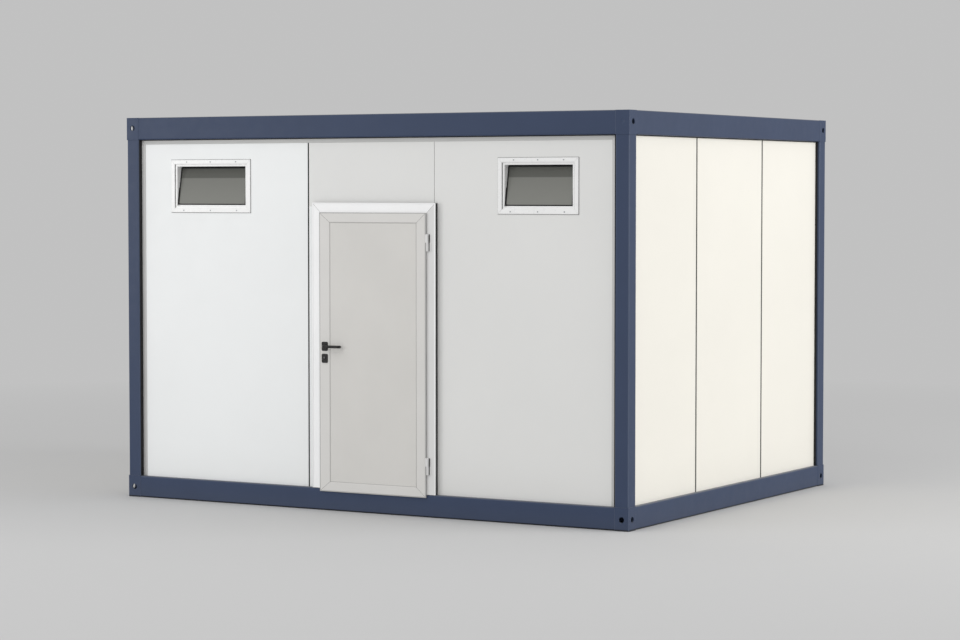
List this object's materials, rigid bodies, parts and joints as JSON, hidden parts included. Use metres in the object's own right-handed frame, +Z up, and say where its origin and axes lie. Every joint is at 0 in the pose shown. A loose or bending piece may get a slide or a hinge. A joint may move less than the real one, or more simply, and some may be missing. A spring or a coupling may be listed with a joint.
{
  "type": "toilet and shower container",
  "caption": "Flat-roofed sanitary container with a navy steel frame, pale wall panels, small high vent windows and one hinged door with a lever handle.",
  "frame": {"origin": "centre of the steel frame's footprint at ground level", "axes": "+X along the front to the right, +Y from the front with the door to the rear, +Z up"},
  "size_m": [4.16, 3.354, 2.8],
  "materials": {
    "navy_steel": "satin paint",
    "galvanised_steel": "zinc coated",
    "floor_covering": "sheet vinyl",
    "white_panel": "coated sheet",
    "cream_panel": "coated sheet",
    "black_rubber": "matt",
    "grey_rubber": "matt",
    "white_plastic": "satin",
    "frosted_glass": "frosted",
    "black_metal": "satin",
    "white_aluminium": "powder coat",
    "grey_aluminium": "powder coat"
  },
  "bodies": {
    "container": {"bottom_corner_blocks": "navy_steel", "top_corner_blocks": "navy_steel", "corner_posts": "navy_steel", "front_bottom_beam": "navy_steel", "rear_bottom_beam": "navy_steel", "left_bottom_beam": "navy_steel", "right_bottom_beam": "navy_steel", "front_top_beam": "navy_steel", "rear_top_beam": "navy_steel", "left_top_beam": "navy_steel", "right_top_beam": "navy_steel", "floor_joists": "galvanised_steel", "roof_sheet": "galvanised_steel", "door_threshold": "galvanised_steel", "floor_deck": "floor_covering", "ceiling_panel": "white_panel", "front_left_wall": "white_panel", "front_right_wall": "white_panel", "door_head_wall": "white_panel", "door_side_wall": "white_panel", "rear_wall_panels": "white_panel", "right_wall_panels": "cream_panel", "left_wall_panels": "cream_panel", "wall_joint_seals": "black_rubber", "window_sashes": "black_rubber", "door_frame_gasket": "black_rubber", "window_frames": "white_plastic", "window_panes": "frosted_glass", "window_stays": "black_metal", "door_frame_head": "white_aluminium", "door_frame_left_jamb": "white_aluminium", "door_frame_right_jamb": "white_aluminium", "hinge_frame_halves": "white_aluminium"},
    "door": {"leaf_left_stile": "grey_aluminium", "leaf_right_stile": "grey_aluminium", "leaf_top_rail": "grey_aluminium", "leaf_bottom_rail": "grey_aluminium", "leaf_infill": "grey_aluminium", "leaf_edge_seal": "grey_rubber", "hinge_leaf_halves": "white_aluminium", "handle_roses": "black_metal", "lock_roses": "black_metal"},
    "lever": {"outer_lever": "black_metal", "inner_lever": "black_metal", "lever_spindle": "galvanised_steel"}
  },
  "joints": [
    {"name": "door_hinge", "type": "hinge", "parent": "container", "child": "door", "pos_m": [0.521, -1.659, 1.1305], "axis": [0, 0, 1], "range_deg": [0, 120]},
    {"name": "lever_turn", "type": "hinge", "parent": "door", "child": "lever", "pos_m": [-0.325, -1.662, 1.166], "axis": [0, 1, 0], "range_deg": [0, 40], "stiffness_Nm_per_rad": 4, "springref_deg": -17.19}
  ]
}
